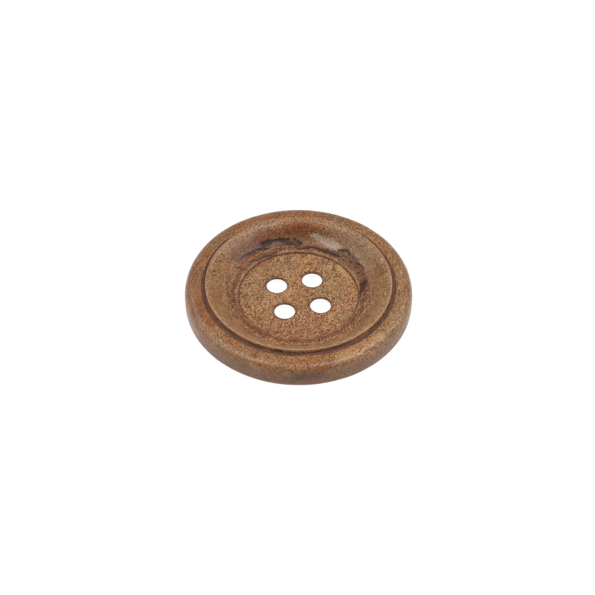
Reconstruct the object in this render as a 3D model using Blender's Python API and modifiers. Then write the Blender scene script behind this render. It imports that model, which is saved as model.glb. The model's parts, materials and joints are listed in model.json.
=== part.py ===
"""A round wooden sew-on button with four thread holes, turned in one piece.

Units are metres, +Z points out of the face, and the origin is the centre of the flat back.
+X runs along a row of thread holes.
"""

import math

import bmesh
import bpy

MM = 0.001

# Driving dimensions.
BUTTON_RADIUS = 15.0 * MM
BUTTON_HEIGHT = 3.9 * MM  # from the flat back to the crest of the raised ring
WEB_THICKNESS = 1.15 * MM  # wood left under the sunk floor
FLOOR_RADIUS = 8.00 * MM
HOLE_RADIUS = 1.36 * MM
HOLE_PITCH = 4.83 * MM  # centre to centre along X and along Y

# The low bead round the floor, between the floor's edge and the cove.
BEAD_RISE = 0.26 * MM  # straight step up from the floor
BEAD_CROWN_RADIUS = 8.60 * MM
BEAD_CROWN_RISE = 0.42 * MM
COVE_RADIUS = 9.25 * MM
COVE_RISE = 0.40 * MM

# The raised ring: the bowl's wall climbs to its crest, which stands over a narrow groove.
CREST_RADIUS = 12.25 * MM
CREST_ROUNDING = 0.10 * MM
GROOVE_INNER_RADIUS = 12.36 * MM
GROOVE_INNER_DEPTH = 0.50 * MM  # depths are below the crest
GROOVE_OUTER_RADIUS = 12.74 * MM
GROOVE_OUTER_DEPTH = 0.62 * MM
RIM_EDGE_RADIUS = 12.85 * MM
RIM_EDGE_DEPTH = 0.49 * MM

# The outer rim: a crowned top that rolls over into the side.
RIM_CROWN_RADIUS = 13.30 * MM
RIM_CROWN_DEPTH = 0.45 * MM
WIDEST_DEPTH = 2.50 * MM
ROLL_POWER = 3.2  # 2 would be an ellipse, more is squarer
FOOT_ROUNDING = 0.62 * MM
FLAT_BACK_RADIUS = 14.0 * MM

# The thread holes are softened at the floor and flare out to the back.
HOLE_SOFTENING = 0.08 * MM
HOLE_LAND = 0.20 * MM  # the straight part of the hole, under the softened edge
CUTTER_OVERRUN = 0.40 * MM

BODY_STEPS = 96
HOLE_STEPS = 32
OGEE_POINTS = 8
ROLL_POINTS = 9
FOOT_POINTS = 4
SCREW_MERGE = 1e-6
SMOOTH_ANGLE = math.radians(32)

WOOD_COLOUR = (0.33, 0.17, 0.08, 1.0)
WOOD_ROUGHNESS = 0.48


def clear_scene():
    for obj in list(bpy.data.objects):
        bpy.data.objects.remove(obj, do_unlink=True)


def new_collection(name):
    collection = bpy.data.collections.new(name)
    bpy.context.scene.collection.children.link(collection)
    return collection


def wood_material():
    material = bpy.data.materials.new("turned_wood")
    material.use_nodes = True
    shader = material.node_tree.nodes["Principled BSDF"]
    shader.inputs["Base Color"].default_value = WOOD_COLOUR
    shader.inputs["Roughness"].default_value = WOOD_ROUGHNESS
    shader.inputs["Metallic"].default_value = 0.0
    return material


def ogee(start, end, count):
    """Points on an S-curve that leaves start and reaches end level, without start itself."""
    points = []
    for i in range(1, count + 1):
        t = i / count
        ease = (1 - math.cos(math.pi * t)) / 2
        points.append((start[0] + (end[0] - start[0]) * t, start[1] + (end[1] - start[1]) * ease))
    return points


def roll_over(top, widest, power, count):
    """Points on a squarish quarter round from the top, without it, out and down to the widest point."""
    points = []
    for i in range(1, count + 1):
        angle = math.pi / 2 * i / count
        out = math.sin(angle) ** (2 / power)
        down = 1 - abs(math.cos(angle)) ** (2 / power)
        points.append((top[0] + (widest[0] - top[0]) * out, top[1] + (widest[1] - top[1]) * down))
    return points


def quarter_round(centre, radius, start_angle, count):
    """Points on a quarter circle that turns clockwise from start_angle, with both its ends."""
    points = []
    for i in range(count + 1):
        angle = start_angle - math.pi / 2 * i / count
        points.append((centre[0] + radius * math.cos(angle), centre[1] + radius * math.sin(angle)))
    return points


def bowl_profile():
    """From the axis along the sunk floor, over the bead and up the bowl to just inside the crest."""
    floor = WEB_THICKNESS
    cove = (COVE_RADIUS, floor + COVE_RISE)
    lip = (CREST_RADIUS - CREST_ROUNDING, BUTTON_HEIGHT)
    points = [(0.0, floor), (FLOOR_RADIUS, floor)]
    points.append((FLOOR_RADIUS + 0.3 * BEAD_RISE, floor + BEAD_RISE))
    points.append((BEAD_CROWN_RADIUS, floor + BEAD_CROWN_RISE))
    points.append(cove)
    return points + ogee(cove, lip, OGEE_POINTS)


def ring_profile():
    """Over the crest, down into the groove and up to the inner edge of the rim."""
    corner = (CREST_RADIUS - CREST_ROUNDING, BUTTON_HEIGHT - CREST_ROUNDING)
    points = quarter_round(corner, CREST_ROUNDING, math.pi / 2, 2)[1:]
    points.append((GROOVE_INNER_RADIUS, BUTTON_HEIGHT - GROOVE_INNER_DEPTH))
    points.append((GROOVE_OUTER_RADIUS, BUTTON_HEIGHT - GROOVE_OUTER_DEPTH))
    points.append((RIM_EDGE_RADIUS, BUTTON_HEIGHT - RIM_EDGE_DEPTH))
    return points


def rim_profile():
    """Over the rim's crown, down the side, round the foot and back to the axis."""
    crown = (RIM_CROWN_RADIUS, BUTTON_HEIGHT - RIM_CROWN_DEPTH)
    widest = (BUTTON_RADIUS, BUTTON_HEIGHT - WIDEST_DEPTH)
    foot = (BUTTON_RADIUS - FOOT_ROUNDING, FOOT_ROUNDING)
    points = [crown]
    points += roll_over(crown, widest, ROLL_POWER, ROLL_POINTS)
    points += quarter_round(foot, FOOT_ROUNDING, 0.0, FOOT_POINTS)
    points.append((FLAT_BACK_RADIUS, 0.0))
    points.append((0.0, 0.0))
    return points


def hole_profile():
    """A thread hole's cutter: softened at the floor, straight, then flared at 45 degrees to the back."""
    floor = WEB_THICKNESS
    land_top = floor - HOLE_SOFTENING
    land_foot = land_top - HOLE_LAND
    top = floor + CUTTER_OVERRUN
    flare = land_foot + CUTTER_OVERRUN
    return [
        (0.0, top),
        (HOLE_RADIUS + HOLE_SOFTENING + CUTTER_OVERRUN, top),
        (HOLE_RADIUS, land_top),
        (HOLE_RADIUS, land_foot),
        (HOLE_RADIUS + flare, -CUTTER_OVERRUN),
        (0.0, -CUTTER_OVERRUN),
    ]


def profile_mesh(name, profile):
    """The profile as a chain of edges in the XZ plane."""
    bm = bmesh.new()
    verts = [bm.verts.new((x, 0.0, z)) for x, z in profile]
    for first, second in zip(verts, verts[1:]):
        bm.edges.new((first, second))
    mesh = bpy.data.meshes.new(name)
    bm.to_mesh(mesh)
    bm.free()
    return mesh


def add_turned(name, mesh, steps, collection):
    """An object whose profile is turned once round Z."""
    obj = bpy.data.objects.new(name, mesh)
    collection.objects.link(obj)
    screw = obj.modifiers.new("Turn", "SCREW")
    screw.axis = "Z"
    screw.angle = math.tau
    screw.steps = steps
    screw.render_steps = steps
    screw.use_merge_vertices = True
    screw.merge_threshold = SCREW_MERGE
    screw.use_smooth_shade = True
    return obj


def add_hole_cutters(collection):
    mesh = profile_mesh("thread_hole_cutter", hole_profile())
    cutters = []
    for row in (-0.5, 0.5):
        for column in (-0.5, 0.5):
            cutter = add_turned("thread_hole_cutter", mesh, HOLE_STEPS, collection)
            cutter.location = (column * HOLE_PITCH, row * HOLE_PITCH, 0.0)
            cutter.hide_render = True
            cutter.display_type = "WIRE"
            cutters.append(cutter)
    return cutters


def add_button_body(collection, cutters):
    profile = bowl_profile() + ring_profile() + rim_profile()
    body = add_turned("button_body", profile_mesh("button_body", profile), BODY_STEPS, collection)
    for cutter in cutters:
        cut = body.modifiers.new("Thread hole", "BOOLEAN")
        cut.operation = "DIFFERENCE"
        cut.solver = "EXACT"
        cut.object = cutter
    body.data.materials.append(wood_material())
    return body


def finish_shading(body):
    """Apply the modifiers, then shade the turned faces smooth and keep the true edges sharp."""
    graph = bpy.context.evaluated_depsgraph_get()
    mesh = bpy.data.meshes.new_from_object(body.evaluated_get(graph))
    body.modifiers.clear()
    body.data = mesh
    mesh.shade_smooth()
    mesh.set_sharp_from_angle(angle=SMOOTH_ANGLE)


def main():
    clear_scene()
    cutters = add_hole_cutters(new_collection("cutters"))
    body = add_button_body(new_collection("sew_on_button"), cutters)
    finish_shading(body)


main()
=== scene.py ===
"""A turned wooden sew-on button on a plain pale table, in soft studio light.

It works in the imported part's frame: +Z out of the button's face, +X along a row of thread holes.
The shape code works in millimetres, and the finished mesh is in metres.
"""

import json
import math

import bpy
import numpy as np
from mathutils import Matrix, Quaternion, Vector, noise
from mathutils.geometry import delaunay_2d_cdt


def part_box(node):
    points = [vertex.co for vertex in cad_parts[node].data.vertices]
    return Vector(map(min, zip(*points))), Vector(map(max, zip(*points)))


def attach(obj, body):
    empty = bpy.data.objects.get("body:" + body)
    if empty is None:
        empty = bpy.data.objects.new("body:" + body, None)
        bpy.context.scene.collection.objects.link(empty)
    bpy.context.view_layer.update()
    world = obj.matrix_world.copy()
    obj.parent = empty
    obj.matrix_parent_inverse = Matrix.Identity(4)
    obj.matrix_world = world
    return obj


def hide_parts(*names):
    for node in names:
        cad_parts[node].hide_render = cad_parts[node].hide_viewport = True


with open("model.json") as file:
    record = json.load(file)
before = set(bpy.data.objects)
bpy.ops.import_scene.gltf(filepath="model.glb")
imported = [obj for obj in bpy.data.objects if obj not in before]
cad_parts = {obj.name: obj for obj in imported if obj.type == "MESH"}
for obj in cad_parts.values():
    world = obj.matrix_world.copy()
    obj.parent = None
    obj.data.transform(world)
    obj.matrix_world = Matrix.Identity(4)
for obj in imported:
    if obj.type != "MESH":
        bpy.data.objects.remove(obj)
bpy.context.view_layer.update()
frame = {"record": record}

MM = 0.001


def srgb(red, green, blue):
    """A linear colour from the 0 to 255 values of a picture."""
    linear = []
    for value in (red, green, blue):
        share = value / 255
        linear.append(share / 12.92 if share <= 0.04045 else ((share + 0.055) / 1.055) ** 2.4)
    return (*linear, 1.0)


# Sizes of the CAD part, in millimetres.
node_low, node_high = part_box("button_body")
mounts = {mount["name"]: mount for mount in frame["record"]["mounts"]}
RADIUS = (node_high.x - node_low.x) / 2 / MM
HEIGHT = node_high.z / MM
FLOOR = mounts["thread_seat"]["pos_m"][2] / MM
FLOOR_RADIUS = 8.00
BEAD_RISE = 0.26
BEAD_CROWN_RADIUS = 8.60
BEAD_CROWN_RISE = 0.42
COVE_RADIUS = 9.25
COVE_RISE = 0.40
CREST_RADIUS = 12.25
CREST_ROUNDING = 0.10
GROOVE_INNER_RADIUS = 12.36
GROOVE_INNER_DEPTH = 0.50
GROOVE_OUTER_RADIUS = 12.74
GROOVE_OUTER_DEPTH = 0.62
RIM_EDGE_RADIUS = 12.85
RIM_EDGE_DEPTH = 0.49
RIM_CROWN_RADIUS = 13.30
RIM_CROWN_DEPTH = 0.45
WIDEST_DEPTH = 2.50
ROLL_POWER = 3.2  # 2 would be an ellipse, more is squarer
FOOT_ROUNDING = 0.62
HOLE_RADIUS = 1.36
HOLE_PITCH = 4.83
HOLE_SOFTENING = 0.08
HOLE_LAND = 0.20

# How finely the turned surface is cut: counts, and steps in millimetres.
COLUMNS = 576
HOLE_COLUMNS = 96
OGEE_POINTS = 40
LIP_POINTS = 6
ROLL_POINTS = 48
FOOT_POINTS = 16
TRACE_STEP = 0.01
COARSE_STEP = 0.11
FINE_STEP = 0.05
FLOOR_GRID = 0.20
BACK_GRID = 0.32
GRID_EDGE_CLEARANCE = 0.6  # shares of the grid's spacing
GRID_HOLE_CLEARANCE = 0.5

# Rows lie FINE_STEP apart between these radii and down or up to these depths and heights.
FINE_CREST_RADII = (11.9, 13.0)
FINE_CREST_DEPTH = 0.75
FINE_FLOOR_RADII = (7.7, 8.1)
FINE_FLOOR_HEIGHT = 0.4
FINE_HOLE_DEPTH = 0.5

# The turned rows reach this far onto the flat floor and back, where the flat faces take over.
FLOOR_MARGIN = 0.3
BACK_MARGIN = 0.4
HOLE_FLOOR_MARGIN = 0.14
HOLE_BACK_MARGIN = 0.10

# How softly the edges are rounded, in millimetres.
CORNER_SOFTNESS = 0.035
HOLE_EDGE_SOFTNESS = CORNER_SOFTNESS * 0.8

# Hollows and ridges are found against an outline blunted by this much.
BODY_BLUNTING = 0.2
HOLE_BLUNTING = 0.13

# The skin strays from the true shape in low waves, and is torn where it is burnt.
WAVE_HEIGHT = 0.025
TEAR_DEPTH = 0.07

# The noise that bends the marks is the same in every run only with a seed.
NOISE_SEED = 3

# A stroke is full up to the first share of its half width and gone at the second.
STROKE_CORE = 0.3
STROKE_EDGE = 1.8

# The wood's fibres lie nearly in the face, at this angle from +X. They are tilted a little out of
# it, and wander by up to about GRAIN_WANDER / 2 millimetres.
GRAIN_ANGLE = math.radians(45)
GRAIN_TILT = (math.radians(3), math.radians(5))
GRAIN_WANDER = 2.2

# Colours of the wood and its marks, as they look in plain daylight.
DARK_WOOD = srgb(80, 46, 26)
WOOD = srgb(129, 88, 54)
# Pale grain, also mixed onto ridges as rubbed wood and a painted highlight.
PALE_WOOD = srgb(184, 146, 104)
PORE_COLOUR = srgb(86, 52, 34)
RED_TINT = (1.06, 0.92, 0.84, 1.0)
OLIVE_TINT = (0.97, 1.01, 0.94, 1.0)
# Grime and painted shade in the hollows: the crest's foot, the groove, the floor's edge and the hole edges.
DIRT_AND_SHADE_TINT = (0.46, 0.20, 0.09, 1.0)
# Orange-brown colouring, and painted shade in the gap between the rim's two front highlights.
RUST_AND_SHADE_TINT = (1.02, 0.74, 0.50, 1.0)
SCORCH_TINT = (0.46, 0.30, 0.22, 1.0)
# Multiplied over the wood's real dark patches, and as painted shade over the bowl's foot, its back wall, the
# groove and the crease at the foot of the wall.
STAIN_AND_SHADE_TINT = (0.52, 0.38, 0.28, 1.0)
# Pale olive wood, also used to paint light onto the bowl's walls and a highlight onto the front right of the
# rim.
PALE_OLIVE = srgb(184, 148, 98)
# Whitish grey of burnt residue, also used for a painted highlight and a painted reflection.
ASH_AND_HIGHLIGHT_COLOUR = srgb(186, 168, 144)
BURN_COLOUR = srgb(38, 18, 10)

# Marks on the turned face: the kind, how strong, and a stroke of
# (angle from +X in degrees, radius in mm, half width in mm).
# Some marks below are painted shade and painted highlights, noted at each.
FACE_MARKS = [
    ("burn", 0.85, [(107, 10.15, 0.36), (101, 10.05, 0.38)]),
    ("burn", 0.85, [(98, 10.1, 0.22), (92, 10.0, 0.28), (87, 10.0, 0.26)]),
    ("burn", 0.75, [(88, 9.6, 0.26), (82, 9.4, 0.30)]),
    ("burn", 0.70, [(81, 9.9, 0.24), (75, 9.5, 0.24)]),
    ("burn", 0.80, [(130, 10.0, 0.10), (114, 9.85, 0.15), (104, 9.6, 0.18)]),
    ("burn", 0.78, [(125, 8.9, 0.10), (118, 8.4, 0.13), (101, 8.45, 0.15), (94, 8.55, 0.13)]),
    ("burn", 0.62, [(139, 9.9, 0.12), (136, 9.2, 0.16), (134, 8.6, 0.12)]),
    ("burn", 0.85, [(77, 8.5, 0.14), (66, 8.85, 0.16), (53, 8.65, 0.20)]),
    ("burn", 0.85, [(53, 8.65, 0.20), (43, 8.9, 0.30), (40, 9.0, 0.26)]),
    ("burn", 0.78, [(43, 9.7, 0.14), (37, 10.1, 0.22), (30, 9.9, 0.18)]),
    ("burn", 0.78, [(30, 9.9, 0.18), (21, 9.75, 0.16), (14, 9.8, 0.14)]),
    ("burn", 0.72, [(14, 8.9, 0.14), (11, 8.7, 0.16)]),
    ("burn", 1.00, [(1, 9.1, 0.26), (-1, 8.8, 0.30), (-9, 8.4, 0.20), (-18, 8.05, 0.10)]),
    ("burn", 0.70, [(-18, 8.05, 0.10), (-40, 8.03, 0.09), (-73, 8.08, 0.08)]),
    ("burn", 0.62, [(angle, 8.14, 0.08) for angle in range(215, 291, 8)]),
    ("burn", 0.68, [(292, 14.58, 0.06), (304, 14.62, 0.08), (317, 14.56, 0.06)]),
    ("burn", 0.20, [(-22, 14.2, 0.30), (-5, 14.2, 0.40), (12, 14.2, 0.35)]),
    # Painted highlight with a little whitish residue: the pale patch on the bowl's back-right wall.
    ("ash_and_highlight", 0.90, [(66, 10.4, 0.38), (54, 10.1, 0.70), (43, 9.9, 0.48)]),
    # Painted reflection: a grey sheen along the rim's outer edge at the back.
    ("ash_and_highlight", 0.55, [(angle, 14.6, 0.35) for angle in range(60, 111, 10)]),
    ("rust_and_shade", 0.85, [(13, 9.3, 0.45)]),
    ("rust_and_shade", 0.80, [(66, 11.0, 0.45), (80, 10.9, 0.65), (104, 10.8, 0.65), (122, 10.6, 0.50)]),
    ("rust_and_shade", 0.60, [(151, 9.6, 0.22), (166, 8.8, 0.25)]),
    # Painted shade: the orange-brown gap between the rim's two front highlights.
    ("rust_and_shade", 0.60, [(249, 14.0, 0.55), (267, 14.0, 0.60)]),
    ("rust_and_shade", 0.45, [(182, 13.8, 0.7), (202, 13.8, 0.7)]),
    ("pale", 0.80, [(17, 7.3, 0.50), (30, 7.5, 0.60)]),
    # Painted light: the bowl's walls lighter, most on the front wall.
    ("pale", 0.75, [(angle, 10.9, 0.8) for angle in range(225, 291, 10)]),
    ("pale", 0.45, [(angle, 10.9, 0.8) for angle in range(145, 226, 10)]),
    ("pale", 0.45, [(angle, 10.9, 0.8) for angle in range(291, 361, 10)]),
    # Painted highlight on the front right of the rim, and painted light further round to the right.
    ("pale", 0.60, [(278, 13.9, 0.7), (290, 13.9, 0.8), (306, 13.9, 0.6)]),
    ("pale", 0.35, [(angle, 13.9, 0.8) for angle in range(315, 376, 10)]),
    # Painted shade: a darker ring round the bowl's foot, over the bead.
    ("stain_and_shade", 0.68, [(angle, 8.60, 0.42) for angle in range(0, 361, 10)]),
    # The bowl's back wall darker: partly real colouring, partly painted shade.
    ("stain_and_shade", 0.60, [(angle, 10.4, 1.2) for angle in range(60, 131, 10)]),
    # Painted shade in the groove outside the crest, with some grime.
    ("stain_and_shade", 0.85, [(angle, 12.50, 0.20) for angle in range(0, 361, 10)]),
    # Darker over the back and left of the rim.
    ("stain_and_shade", 0.38, [(angle, 13.8, 1.1) for angle in range(50, 201, 10)]),
    ("stain_and_shade", 0.95, [(127, 9.8, 0.35), (106, 10.0, 0.60), (92, 9.9, 0.70), (78, 9.6, 0.60)]),
    ("stain_and_shade", 0.90, [(77, 8.7, 0.40), (60, 8.8, 0.40), (42, 9.3, 0.60)]),
    ("stain_and_shade", 0.90, [(42, 9.3, 0.60), (25, 9.6, 0.50), (5, 9.2, 0.60)]),
    ("stain_and_shade", 0.80, [(5, 9.0, 0.60), (-10, 8.8, 0.50), (-30, 8.7, 0.40)]),
    # Painted shade along the crease at the foot of the bowl's wall, on the left.
    ("stain_and_shade", 0.70, [(149, 9.8, 0.22), (163, 9.5, 0.20), (182, 9.1, 0.18)]),
    ("stain_and_shade", 0.70, [(182, 9.1, 0.18), (198, 9.1, 0.18), (230, 9.2, 0.12)]),
    ("stain_and_shade", 0.75, [(-2, 9.45, 0.20), (-19, 9.05, 0.15), (-38, 8.9, 0.12)]),
    ("stain_and_shade", 0.45, [(139, 7.7, 0.30)]),
    ("stain_and_shade", 0.45, [(168, 7.4, 0.50), (172, 7.1, 0.50)]),
    ("stain_and_shade", 0.45, [(206, 6.75, 0.60)]),
    ("stain_and_shade", 0.40, [(226, 7.65, 0.50)]),
]
# The same on the button's side, with the height in mm in the radius's place.
SIDE_MARKS = [
    ("burn", 0.32, [(256, 1.9, 0.7), (268, 2.2, 0.8)]),
    # Darker towards the bottom of the front of the side.
    ("stain_and_shade", 0.45, [(angle, 1.3, 1.1) for angle in range(200, 321, 10)]),
]
MARK_KINDS = ("burn", "ash_and_highlight", "rust_and_shade", "pale", "stain_and_shade")

# How each layer over the wood spreads: the mesh's value it follows, how far the grain moves its
# edge, and the values where it starts and where it is full.
LAYER_EDGES = {
    # Real dark patches, and painted shade in the bowl's foot, on its back wall, in the groove and along the
    # crease.
    "stain_and_shade": ("stain_and_shade", 0.6, 0.05, 0.85),
    # Grime and painted shade in the hollows.
    "dirt_and_shade": ("hollow", 0.04, 0.008, 0.045),
    # Lighter on ridges such as the crest's edge: partly rubbed wood, partly a painted highlight.
    "wear_and_highlight": ("hollow", 0.05, -0.030, -0.090),
    # Orange-brown colouring, and painted shade on the front of the rim.
    "rust_and_shade": ("rust_and_shade", 0.8, 0.15, 0.95),
    # Pale olive wood, and painted light on the bowl's walls and the rim's front right.
    "pale": ("pale", 0.8, 0.15, 0.95),
    # A little whitish residue, and a painted highlight and reflection.
    "ash_and_highlight": ("ash_and_highlight", 2.2, 0.15, 1.15),
    "scorch": ("burn", 1.2, 0.05, 0.60),
    "char": ("burn", 3.2, 0.42, 1.02),
}
# What each layer does to the colour, the lowest first: its share where it is full, and how it mixes.
LAYER_COLOURS = [
    # Darkens real dark patches, and paints shade into the bowl's foot, its back wall, the groove and the
    # crease.
    ("stain_and_shade", 1.0, STAIN_AND_SHADE_TINT, "MULTIPLY"),
    # Darkens the hollows: grime and painted shade.
    ("dirt_and_shade", 0.9, DIRT_AND_SHADE_TINT, "MULTIPLY"),
    # Lightens the ridges: rubbed wood and a painted highlight.
    ("wear_and_highlight", 0.5, PALE_WOOD, "MIX"),
    # Orange-brown colouring, and painted shade on the front of the rim.
    ("rust_and_shade", 1.0, RUST_AND_SHADE_TINT, "MULTIPLY"),
    # Mixes in pale olive wood, and paints light onto the bowl's walls and a highlight onto the rim.
    ("pale", 0.6, PALE_OLIVE, "MIX"),
    # Mixes in a painted highlight and reflection, with a little whitish residue.
    ("ash_and_highlight", 0.7, ASH_AND_HIGHLIGHT_COLOUR, "MIX"),
    ("scorch", 1.0, SCORCH_TINT, "MULTIPLY"),
    ("char", 0.93, BURN_COLOUR, "MIX"),
]

# The camera, and the way its picture is framed.
CAMERA_AZIMUTH = math.radians(-13)
CAMERA_ELEVATION = math.radians(45.95)
CAMERA_DISTANCE = 173.4 * MM
CAMERA_AIM_ASIDE = -0.14 * MM
CAMERA_AIM_HEIGHT = 0.66 * MM
CAMERA_ROLL = math.radians(0.32)
CAMERA_LENS = 78.96

# The studio. A softbox is its name, heading and elevation in degrees, width and height in metres,
# and brightness.
LIGHT_DISTANCE = 0.8
SOFTBOXES = [
    ("back_right_softbox", 38, 50, 0.40, 0.28, 4.3),
    ("back_left_softbox", 142, 48, 0.40, 0.28, 3.4),
    ("left_softbox", 203, 63, 0.32, 0.32, 7.6),
    ("right_softbox", 335, 63, 0.30, 0.32, 9.4),
    ("left_fill", 185, 26, 0.60, 0.30, 3.4),
    ("right_fill", 350, 26, 0.60, 0.30, 3.6),
    ("back_fill", 90, 12, 1.20, 0.20, 1.2),
]
WHITE = (1.0, 1.0, 1.0, 1.0)
WORLD_STRENGTH = 0.14
TABLE_SIZE = 3.0
TABLE_GAP = 0.02 * MM
TABLE_GREY = (0.10, 0.10, 0.10, 1.0)
TABLE_GLOW = 0.95


# ---------------------------------------------------------------- profile


def ogee(start, end, count):
    """Points on an S-curve that leaves start and reaches end level, without start itself."""
    points = []
    for i in range(1, count + 1):
        t = i / count
        ease = (1 - math.cos(math.pi * t)) / 2
        points.append((start[0] + (end[0] - start[0]) * t, start[1] + (end[1] - start[1]) * ease))
    return points


def roll_over(top, widest, power, count):
    """Points on a squarish quarter round from the top, without it, out and down to the widest point."""
    points = []
    for i in range(1, count + 1):
        angle = math.pi / 2 * i / count
        out = math.sin(angle) ** (2 / power)
        down = 1 - abs(math.cos(angle)) ** (2 / power)
        points.append((top[0] + (widest[0] - top[0]) * out, top[1] + (widest[1] - top[1]) * down))
    return points


def quarter_round(centre, radius, start_angle, count):
    """Points on a quarter circle that turns clockwise from start_angle, with both its ends."""
    points = []
    for i in range(count + 1):
        angle = start_angle - math.pi / 2 * i / count
        points.append((centre[0] + radius * math.cos(angle), centre[1] + radius * math.sin(angle)))
    return points


def button_profile():
    """The turned outline from the flat floor over the bowl, crest and rim to the flat back."""
    cove = (COVE_RADIUS, FLOOR + COVE_RISE)
    lip = (CREST_RADIUS - CREST_ROUNDING, HEIGHT)
    corner = (CREST_RADIUS - CREST_ROUNDING, HEIGHT - CREST_ROUNDING)
    crown = (RIM_CROWN_RADIUS, HEIGHT - RIM_CROWN_DEPTH)
    widest = (RADIUS, HEIGHT - WIDEST_DEPTH)
    foot = (RADIUS - FOOT_ROUNDING, FOOT_ROUNDING)
    points = [(FLOOR_RADIUS - FLOOR_MARGIN, FLOOR), (FLOOR_RADIUS, FLOOR)]
    points.append((FLOOR_RADIUS + 0.3 * BEAD_RISE, FLOOR + BEAD_RISE))
    points.append((BEAD_CROWN_RADIUS, FLOOR + BEAD_CROWN_RISE))
    points.append(cove)
    points += ogee(cove, lip, OGEE_POINTS)
    points += quarter_round(corner, CREST_ROUNDING, math.pi / 2, LIP_POINTS)[1:]
    points.append((GROOVE_INNER_RADIUS, HEIGHT - GROOVE_INNER_DEPTH))
    points.append((GROOVE_OUTER_RADIUS, HEIGHT - GROOVE_OUTER_DEPTH))
    points.append((RIM_EDGE_RADIUS, HEIGHT - RIM_EDGE_DEPTH))
    points.append(crown)
    points += roll_over(crown, widest, ROLL_POWER, ROLL_POINTS)
    points += quarter_round(foot, FOOT_ROUNDING, 0.0, FOOT_POINTS)
    points.append((foot[0] - BACK_MARGIN, 0.0))
    return np.array(points)


def hole_profile():
    """A thread hole's outline: the flat floor, the softened edge, the flare and the flat back."""
    land_top = FLOOR - HOLE_SOFTENING
    land_foot = land_top - HOLE_LAND
    flare_radius = HOLE_RADIUS + land_foot
    return np.array(
        [
            (HOLE_RADIUS + HOLE_SOFTENING + HOLE_FLOOR_MARGIN, FLOOR),
            (HOLE_RADIUS + HOLE_SOFTENING, FLOOR),
            (HOLE_RADIUS, land_top),
            (HOLE_RADIUS, land_foot),
            (flare_radius, 0.0),
            (flare_radius + HOLE_BACK_MARGIN, 0.0),
        ]
    )


def traced(points, step):
    """The outline at even steps along its length."""
    pieces = np.hypot(*np.diff(points, axis=0).T)
    along = np.concatenate([[0.0], np.cumsum(pieces)])
    even = np.linspace(0.0, along[-1], int(along[-1] / step))
    return np.stack([np.interp(even, along, points[:, 0]), np.interp(even, along, points[:, 1])], axis=1)


def softened(line, step, softness):
    """The traced outline with its corners rounded by a Gaussian average, and its ends where they were."""
    reach = int(4 * softness / step)
    weights = np.exp(-0.5 * (np.arange(-reach, reach + 1) * step / softness) ** 2)
    weights /= weights.sum()
    before = 2 * line[0] - line[reach:0:-1]
    after = 2 * line[-1] - line[-2 : -reach - 2 : -1]
    padded = np.concatenate([before, line, after])
    return np.stack([np.convolve(padded[:, k], weights, mode="valid") for k in (0, 1)], axis=1)


def rows_of(line, steps):
    """Rows picked from a traced outline, steps apart, where steps holds the wanted spacing at each point."""
    count_so_far = np.cumsum(TRACE_STEP / steps)
    count = int(round(count_so_far[-1]))
    index = np.arange(len(line))
    even = np.linspace(count_so_far[0], count_so_far[-1], count)
    picks = np.interp(even, count_so_far, index)
    return np.stack([np.interp(picks, index, line[:, 0]), np.interp(picks, index, line[:, 1])], axis=1)


def between(values, limits):
    return (values > limits[0]) & (values < limits[1])


def button_rows():
    """The rows of the turned body, closer together at the crest and at the floor's edge."""
    line = softened(traced(button_profile(), TRACE_STEP), TRACE_STEP, CORNER_SOFTNESS)
    radius, height = line.T
    near_crest = between(radius, FINE_CREST_RADII) & (height > HEIGHT - FINE_CREST_DEPTH)
    near_floor_edge = between(radius, FINE_FLOOR_RADII) & (height < FLOOR + FINE_FLOOR_HEIGHT)
    return rows_of(line, np.where(near_crest | near_floor_edge, FINE_STEP, COARSE_STEP))


def hole_rows():
    """The rows of a thread hole, closer together near the floor."""
    line = softened(traced(hole_profile(), TRACE_STEP), TRACE_STEP, HOLE_EDGE_SOFTNESS)
    return rows_of(line, np.where(line[:, 1] > FLOOR - FINE_HOLE_DEPTH, FINE_STEP, COARSE_STEP))


# ---------------------------------------------------------------- mesh


def turned_points(rows, columns, centre=(0.0, 0.0)):
    """One point for each row and column of an outline turned round a vertical axis."""
    angles = np.arange(columns) * math.tau / columns
    x = centre[0] + np.outer(rows[:, 0], np.cos(angles))
    y = centre[1] + np.outer(rows[:, 0], np.sin(angles))
    z = np.repeat(rows[:, 1:2], columns, axis=1)
    return np.stack([x, y, z], axis=-1).reshape(-1, 3)


def turned_faces(row_count, columns, first):
    """Quads between neighbouring rows and columns, from the point numbered first on."""
    faces = []
    for row in range(row_count - 1):
        for column in range(columns):
            after = (column + 1) % columns
            a = first + row * columns + column
            b = first + row * columns + after
            c = first + (row + 1) * columns + after
            d = first + (row + 1) * columns + column
            faces.append((a, d, c, b))
    return faces


def hole_centres():
    half = HOLE_PITCH / 2
    return [(x, y) for y in (-half, half) for x in (-half, half)]


def clear_of_holes(x, y, distance):
    return all(math.hypot(x - cx, y - cy) > distance for cx, cy in hole_centres())


def flat_points(outer_radius, hole_ring_radius, spacing):
    """A triangular grid of points over a flat disc, clear of its edge and of the thread holes."""
    points = []
    row_gap = spacing * math.sqrt(3) / 2
    count = int(outer_radius / row_gap) + 1
    for j in range(-count, count + 1):
        shift = spacing / 2 if j % 2 else 0.0
        for i in range(-count - 1, count + 2):
            x, y = i * spacing + shift, j * row_gap
            clear_of_edge = math.hypot(x, y) < outer_radius - GRID_EDGE_CLEARANCE * spacing
            if clear_of_edge and clear_of_holes(x, y, hole_ring_radius + GRID_HOLE_CLEARANCE * spacing):
                points.append((x, y))
    return points


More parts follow.
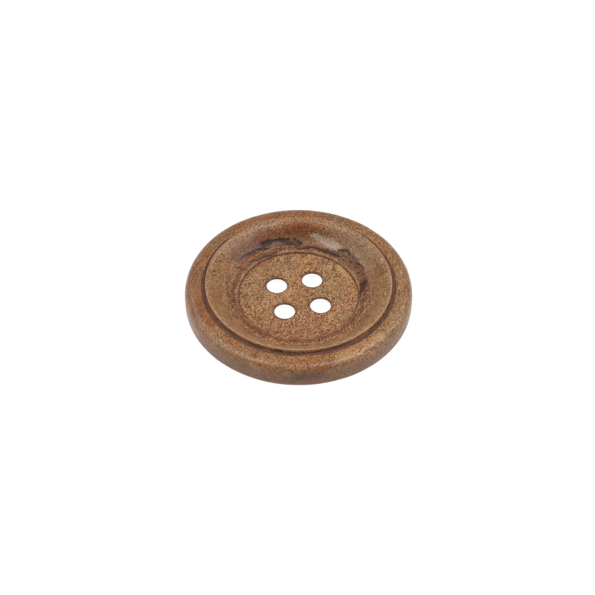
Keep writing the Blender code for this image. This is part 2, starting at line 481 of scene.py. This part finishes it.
def flat_faces(points, rings, hole_ring_radius):
    """Triangles over a flat disc. rings lists each closed ring's first index and its length."""
    edges = []
    for first, length in rings:
        edges += [(first + i, first + (i + 1) % length) for i in range(length)]
    spots, _, triangles, *_ = delaunay_2d_cdt([Vector(p) for p in points], edges, [], 0, 1e-7)
    kept = []
    for a, b, c in triangles:
        x = (spots[a].x + spots[b].x + spots[c].x) / 3
        y = (spots[a].y + spots[b].y + spots[c].y) / 3
        if clear_of_holes(x, y, hole_ring_radius):
            kept.append((a, b, c))
    return kept


def turned_skin(body, hole):
    """Points, faces and hollowness of the turned body and of the four thread holes."""
    points = [turned_points(body, COLUMNS)]
    faces = turned_faces(len(body), COLUMNS, 0)
    hollow = [np.repeat(hollowness(body, BODY_BLUNTING), COLUMNS)]
    first = len(body) * COLUMNS
    for centre in hole_centres():
        points.append(turned_points(hole, HOLE_COLUMNS, centre))
        faces += turned_faces(len(hole), HOLE_COLUMNS, first)
        # The holes' edges count as hollows too, so they get grime and painted shade.
        hollow.append(np.repeat(np.abs(hollowness(hole, HOLE_BLUNTING)), HOLE_COLUMNS))
        first += len(hole) * HOLE_COLUMNS
    return np.concatenate(points), faces, np.concatenate(hollow)


def edge_rings(body, hole, row):
    """The first index and the length of each ring round a flat face: the body's, then the holes'."""
    first_hole = len(body) * COLUMNS
    rings = [(row % len(body) * COLUMNS, COLUMNS)]
    for i in range(len(hole_centres())):
        rings.append((first_hole + (i * len(hole) + row % len(hole)) * HOLE_COLUMNS, HOLE_COLUMNS))
    return rings


def flat_disc(points, body, hole, row, spacing):
    """New points and triangles of the flat face at the outlines' first row, or at their last."""
    owners = []
    rings = []
    for first, length in edge_rings(body, hole, row):
        rings.append((len(owners), length))
        owners += range(first, first + length)
    edge = [tuple(points[owner][:2]) for owner in owners]
    inner = flat_points(body[row][0], hole[row][0], spacing)
    owners += range(len(points), len(points) + len(inner))
    triangles = flat_faces(edge + inner, rings, hole[row][0])
    faces = [tuple(owners[corner] for corner in triangle) for triangle in triangles]
    return np.array([(x, y, body[row][1]) for x, y in inner]), faces


def button_mesh():
    """Points, faces and hollowness of the whole button, one closed skin without booleans."""
    body, hole = button_rows(), hole_rows()
    points, faces, hollow = turned_skin(body, hole)
    for row, spacing, winding in ((0, FLOOR_GRID, 1), (-1, BACK_GRID, -1)):
        inner, triangles = flat_disc(points, body, hole, row, spacing)
        points = np.concatenate([points, inner])
        faces += [triangle[::winding] for triangle in triangles]
    flat_hollow = np.zeros(len(points) - len(hollow))
    return points, faces, np.concatenate([hollow, flat_hollow])


def build_button():
    """The button's object. Its mesh carries the marks as values that the material reads by name."""
    noise.seed_set(NOISE_SEED)
    points, faces, hollow = button_mesh()
    mesh = bpy.data.meshes.new("turned_button")
    mesh.from_pydata((points * MM).tolist(), [], faces)
    mesh.validate()
    mesh.update()
    mesh.shade_smooth()
    masks = paint_marks(points, button_rows())
    # The material paints shade and grime into hollows, and lighter rubbed wood with a painted highlight onto
    # ridges.
    masks["hollow"] = hollow
    masks["polish"] = smooth_fade(np.hypot(points[:, 0], points[:, 1]), FLOOR_RADIUS, RIM_CROWN_RADIUS)
    roughen(mesh, points, masks)
    for kind, mask in masks.items():
        mesh.attributes.new(kind, "FLOAT", "POINT").data.foreach_set("value", mask)
    button = bpy.data.objects.new("turned_button", mesh)
    bpy.context.scene.collection.objects.link(button)
    return button


# ---------------------------------------------------------------- marks


def smooth_fade(value, start, end):
    """0 before start, 1 past end and an S-curve between them, for arrays."""
    share = np.clip((value - start) / (end - start), 0.0, 1.0)
    return share * share * (3 - 2 * share)


def noise_offsets(points, size, amount, seed):
    """A smooth random shift for each point, in features of the given size."""
    shift = Vector((seed, 2.3 * seed, 5.1 * seed))
    return np.array([noise.noise_vector(Vector(p) / size + shift) for p in points]) * amount


def around(angle, radius, height):
    turn = math.radians(angle)
    return np.array([radius * math.cos(turn), radius * math.sin(turn), height])


def on_face(body, angle, radius):
    """The point of the turned face at an angle in degrees and a radius."""
    face = body[: np.argmax(body[:, 0]) + 1]
    return around(angle, radius, np.interp(radius, face[:, 0], face[:, 1]))


def on_side(body, angle, height):
    """The point of the button's side at an angle in degrees and a height."""
    side = body[np.argmax(body[:, 0]) :]
    return around(angle, np.interp(-height, -side[:, 1], side[:, 0]), height)


def stroke_mask(points, nodes):
    """How strongly each point lies on a brush stroke. A node of the stroke is (place, half width)."""
    best = np.zeros(len(points))
    if len(nodes) == 1:
        nodes = nodes * 2
    for (start, start_width), (end, end_width) in zip(nodes, nodes[1:]):
        step = end - start
        length = max(step @ step, 1e-9)
        share = np.clip((points - start) @ step / length, 0.0, 1.0)
        nearest = start + share[:, None] * step
        width = start_width + share * (end_width - start_width)
        distance = np.linalg.norm(points - nearest, axis=1)
        best = np.maximum(best, 1 - smooth_fade(distance / width, STROKE_CORE, STROKE_EDGE))
    return best


def paint_marks(points, body):
    """For each kind of mark, how strongly each point is marked, from 0 to 1."""
    moved = points + noise_offsets(points, size=1.3, amount=0.32, seed=3.0)
    moved = moved + noise_offsets(points, size=0.35, amount=0.10, seed=7.0)
    masks = {kind: np.zeros(len(points)) for kind in MARK_KINDS}
    for marks, place_of in ((FACE_MARKS, on_face), (SIDE_MARKS, on_side)):
        for kind, strength, stroke in marks:
            places = [(place_of(body, angle, where), width) for angle, where, width in stroke]
            masks[kind] = np.maximum(masks[kind], strength * stroke_mask(moved, places))
    return masks


def noise_values(points, size, seed):
    """Smooth noise from about -1 to 1 at each point, in features of the given size."""
    shift = Vector((seed, 3.7 * seed, 1.9 * seed))
    return np.array([noise.noise(Vector(p) / size + shift) for p in points])


def roughen(mesh, points, masks):
    """Give the skin the slight waves of turned wood, and tear it where it is burnt."""
    normals = np.zeros(len(points) * 3)
    mesh.vertices.foreach_get("normal", normals)
    ragged_burn = masks["burn"] + 0.25 * noise_values(points, size=0.30, seed=4.0)
    torn = smooth_fade(ragged_burn, 0.35, 0.95)
    pits = masks["burn"] * noise_values(points, size=0.22, seed=9.0)
    waves = WAVE_HEIGHT * noise_values(points, size=2.6, seed=1.0)
    depth = waves - TEAR_DEPTH * torn + TEAR_DEPTH * 0.6 * pits
    moved = points + normals.reshape(-1, 3) * depth[:, None]
    mesh.vertices.foreach_set("co", (moved * MM).ravel())
    mesh.update()


def hollowness(rows, reach):
    """How far a blunter copy of the outline stands off it: above 0 in a hollow and below 0 on a ridge."""
    line = traced(rows, TRACE_STEP)
    blunt = softened(line, TRACE_STEP, reach)
    along = np.gradient(line, axis=0)
    along /= np.linalg.norm(along, axis=1)[:, None]
    outward = np.stack([-along[:, 1], along[:, 0]], axis=1)
    stand_off = ((blunt - line) * outward).sum(axis=1)
    lengths = np.concatenate([[0.0], np.cumsum(np.hypot(*np.diff(rows, axis=0).T))])
    line_lengths = np.linspace(0.0, lengths[-1], len(line))
    return np.interp(lengths, line_lengths, stand_off)


# ---------------------------------------------------------------- wood


class Nodes:
    """Short calls that build one material's nodes. An argument is a value or another node's output."""

    def __init__(self, material):
        material.use_nodes = True
        self.tree = material.node_tree
        self.shader = self.tree.nodes["Principled BSDF"]

    def feed(self, socket, value):
        if isinstance(value, bpy.types.NodeSocket):
            self.tree.links.new(value, socket)
        else:
            socket.default_value = value

    def add(self, kind, inputs, **settings):
        node = self.tree.nodes.new(kind)
        for name, value in settings.items():
            setattr(node, name, value)
        for key, value in inputs.items():
            self.feed(node.inputs[key], value)
        return node

    def math(self, operation, *values):
        return self.add("ShaderNodeMath", dict(enumerate(values)), operation=operation).outputs[0]

    def vector(self, operation, *values):
        return self.add("ShaderNodeVectorMath", dict(enumerate(values)), operation=operation).outputs[0]

    def scaled(self, vector, factor):
        node = self.add("ShaderNodeVectorMath", {"Vector": vector, "Scale": factor}, operation="SCALE")
        return node.outputs[0]

    def noise(self, vector, detail, roughness=0.5):
        inputs = {"Vector": vector, "Scale": 1.0, "Detail": detail, "Roughness": roughness}
        return self.add("ShaderNodeTexNoise", inputs).outputs["Fac"]

    def fade(self, value, start, end):
        """0 before start, 1 past end and an S-curve between them."""
        inputs = {"Value": value, "From Min": start, "From Max": end}
        return self.add("ShaderNodeMapRange", inputs, interpolation_type="SMOOTHSTEP").outputs["Result"]

    def mix(self, factor, first, second, blend="MIX"):
        node = self.add("ShaderNodeMix", {}, data_type="RGBA", blend_type=blend, clamp_factor=True)
        self.feed(node.inputs["Factor"], factor)
        self.feed(node.inputs[6], first)
        self.feed(node.inputs[7], second)
        return node.outputs[2]

    def weighted(self, start, layers):
        """start plus each layer's weight times how far the layer is above 0.5."""
        total = start
        for weight, layer in layers:
            total = self.math("MULTIPLY_ADD", self.math("SUBTRACT", layer, 0.5), weight, total)
        return total

    def mask(self, name):
        """One of the mesh's own values, by name."""
        return self.add("ShaderNodeAttribute", {}, attribute_name=name).outputs["Fac"]

    def ramp(self, factor, stops):
        node = self.add("ShaderNodeValToRGB", {"Fac": factor})
        elements = node.color_ramp.elements
        while len(elements) < len(stops):
            elements.new(0.5)
        for element, (position, colour) in zip(elements, stops):
            element.position = position
            element.color = colour
        return node.outputs["Color"]


def fibre_layers(n):
    """The wood's figure at every scale, from growth bands to pores, each from 0 to 1."""
    place = n.scaled(n.add("ShaderNodeTexCoord", {}).outputs["Object"], 1 / MM)
    wander = n.add("ShaderNodeTexNoise", {"Vector": place, "Scale": 0.22, "Detail": 1.0}).outputs["Color"]
    bent = n.vector("ADD", place, n.scaled(n.vector("SUBTRACT", wander, (0.5, 0.5, 0.5)), GRAIN_WANDER))
    turn = (*GRAIN_TILT, -GRAIN_ANGLE)
    fibres = n.add("ShaderNodeVectorRotate", {"Vector": bent, "Rotation": turn}, rotation_type="EULER_XYZ")
    fibres = fibres.outputs[0]

    def stretched(along, across):
        return n.vector("MULTIPLY", fibres, (1 / along, 1 / across, 1 / across))

    pores = n.add("ShaderNodeTexVoronoi", {"Vector": stretched(0.9, 0.27), "Scale": 1.0})
    which = n.add("ShaderNodeSeparateColor", {"Color": pores.outputs["Color"]}).outputs["Red"]
    pore = n.math("MULTIPLY", n.fade(pores.outputs["Distance"], 0.34, 0.16), n.fade(which, 0.45, 0.75))
    return {
        "hue": n.noise(stretched(7.0, 4.0), 1.0),
        "band": n.noise(stretched(12.0, 1.8), 2.0),
        "coarse": n.noise(stretched(3.6, 0.55), 2.0),
        "fine": n.noise(stretched(1.6, 0.13), 3.0, 0.6),
        "speckle": n.noise(stretched(0.32, 0.15), 2.0, 0.6),
        "pore": pore,
    }


def bare_colour(n, layer, polish):
    """The wood without its marks: flecks and bands, a reddish or olive tint, and dark pores."""
    figure = [(0.30, layer["band"]), (0.25, layer["coarse"]), (1.0, layer["fine"]), (2.9, layer["speckle"])]
    contrast = n.math("MULTIPLY_ADD", polish, -0.38, 1.0)
    tone = n.math("MULTIPLY_ADD", n.weighted(0.0, figure), contrast, 0.5)
    colour = n.ramp(tone, [(0.2, DARK_WOOD), (0.5, WOOD), (0.8, PALE_WOOD)])
    tint = n.mix(n.fade(layer["hue"], 0.30, 0.70), RED_TINT, OLIVE_TINT)
    colour = n.mix(1.0, colour, tint, "MULTIPLY")
    return n.mix(n.math("MULTIPLY", layer["pore"], 0.6), colour, PORE_COLOUR)


def mark_layers(n, layer):
    """How much of each mark shows, from 0 to 1, with an edge that the grain breaks up."""
    breakup = n.math("ADD", layer["speckle"], n.math("SUBTRACT", layer["fine"], 1.0))
    marks = {}
    for name, (value, raggedness, start, full) in LAYER_EDGES.items():
        marks[name] = n.fade(n.math("MULTIPLY_ADD", breakup, raggedness, n.mask(value)), start, full)
    return marks


def marked_colour(n, colour, marks):
    for name, share, tint, blend in LAYER_COLOURS:
        colour = n.mix(n.math("MULTIPLY", marks[name], share), colour, tint, blend)
    return colour


def wood_roughness(n, layer, marks, polish):
    """Smoother on the rim, and rougher where it is charred and in the hollows that get grime and painted
    shade.
    """
    gloss = [(0.20, layer["fine"]), (0.20, layer["speckle"]), (0.20, layer["hue"])]
    roughness = n.math("MULTIPLY_ADD", polish, -0.10, n.weighted(0.46, gloss))
    roughness = n.math("MULTIPLY_ADD", marks["char"], 0.12, roughness)
    return n.math("MULTIPLY_ADD", marks["dirt_and_shade"], 0.30, roughness)


def wood_relief(n, layer, marks):
    """The height of the grain that is too fine for the mesh, in millimetres."""
    grain = [(0.008, layer["fine"]), (0.012, layer["speckle"]), (0.015, layer["coarse"])]
    relief = n.math("MULTIPLY_ADD", layer["pore"], -0.020, n.weighted(0.0, grain))
    return n.math("MULTIPLY_ADD", marks["char"], -0.030, relief)


def wood_material():
    material = bpy.data.materials.new("turned_wood")
    n = Nodes(material)
    layer = fibre_layers(n)
    marks = mark_layers(n, layer)
    polish = n.mask("polish")
    relief = wood_relief(n, layer, marks)
    bump = n.add("ShaderNodeBump", {"Strength": 1.0, "Distance": MM, "Height": relief})
    n.feed(n.shader.inputs["Base Color"], marked_colour(n, bare_colour(n, layer, polish), marks))
    n.feed(n.shader.inputs["Roughness"], wood_roughness(n, layer, marks, polish))
    n.feed(n.shader.inputs["Normal"], bump.outputs["Normal"])
    n.shader.inputs["Specular IOR Level"].default_value = 0.5
    return material


# ---------------------------------------------------------------- studio


def add_table():
    bpy.ops.mesh.primitive_plane_add(size=TABLE_SIZE, location=(0.0, 0.0, -TABLE_GAP))
    table = bpy.context.object
    table.name = "pale_table"
    material = bpy.data.materials.new("pale_table")
    material.use_nodes = True
    shader = material.node_tree.nodes["Principled BSDF"]
    shader.inputs["Base Color"].default_value = TABLE_GREY
    shader.inputs["Roughness"].default_value = 0.9
    shader.inputs["Specular IOR Level"].default_value = 0.0
    shader.inputs["Emission Color"].default_value = WHITE
    shader.inputs["Emission Strength"].default_value = TABLE_GLOW
    table.data.materials.append(material)


def add_softbox(name, heading, elevation, width, height, brightness):
    """A rectangular soft light that faces the button. Heading 0 is the picture's right, 90 its back."""
    data = bpy.data.lights.new(name, "AREA")
    data.shape = "RECTANGLE"
    data.size, data.size_y = width, height
    data.energy = brightness * math.pi * width * height
    light = bpy.data.objects.new(name, data)
    bpy.context.scene.collection.objects.link(light)
    turn = math.radians(heading) + CAMERA_AZIMUTH
    flat = math.cos(math.radians(elevation))
    towards = Vector((math.cos(turn) * flat, math.sin(turn) * flat, math.sin(math.radians(elevation))))
    light.location = towards * LIGHT_DISTANCE
    light.rotation_mode = "QUATERNION"
    light.rotation_quaternion = towards.to_track_quat("Z", "Y")


def add_world():
    world = bpy.data.worlds.new("studio")
    bpy.context.scene.world = world
    world.use_nodes = True
    background = world.node_tree.nodes["Background"]
    background.inputs["Color"].default_value = WHITE
    background.inputs["Strength"].default_value = WORLD_STRENGTH


def add_camera():
    data = bpy.data.cameras.new("camera")
    data.lens = CAMERA_LENS
    data.sensor_width = 36.0
    data.clip_start = 0.01
    data.clip_end = 10.0
    camera = bpy.data.objects.new("camera", data)
    bpy.context.scene.collection.objects.link(camera)
    flat = math.cos(CAMERA_ELEVATION)
    back = Vector(
        (math.sin(CAMERA_AZIMUTH) * flat, -math.cos(CAMERA_AZIMUTH) * flat, math.sin(CAMERA_ELEVATION))
    )
    aside = Vector((math.cos(CAMERA_AZIMUTH), math.sin(CAMERA_AZIMUTH), 0.0))
    aim = aside * CAMERA_AIM_ASIDE + Vector((0.0, 0.0, CAMERA_AIM_HEIGHT))
    camera.location = aim + back * CAMERA_DISTANCE
    camera.rotation_mode = "QUATERNION"
    camera.rotation_quaternion = Quaternion(back, CAMERA_ROLL) @ back.to_track_quat("Z", "Y")
    bpy.context.scene.camera = camera


def main():
    bpy.context.scene.view_settings.view_transform = "Standard"
    button = build_button()
    button.data.materials.append(wood_material())
    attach(button, "root")
    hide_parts("button_body")
    add_table()
    add_world()
    for softbox in SOFTBOXES:
        add_softbox(*softbox)
    add_camera()


main()
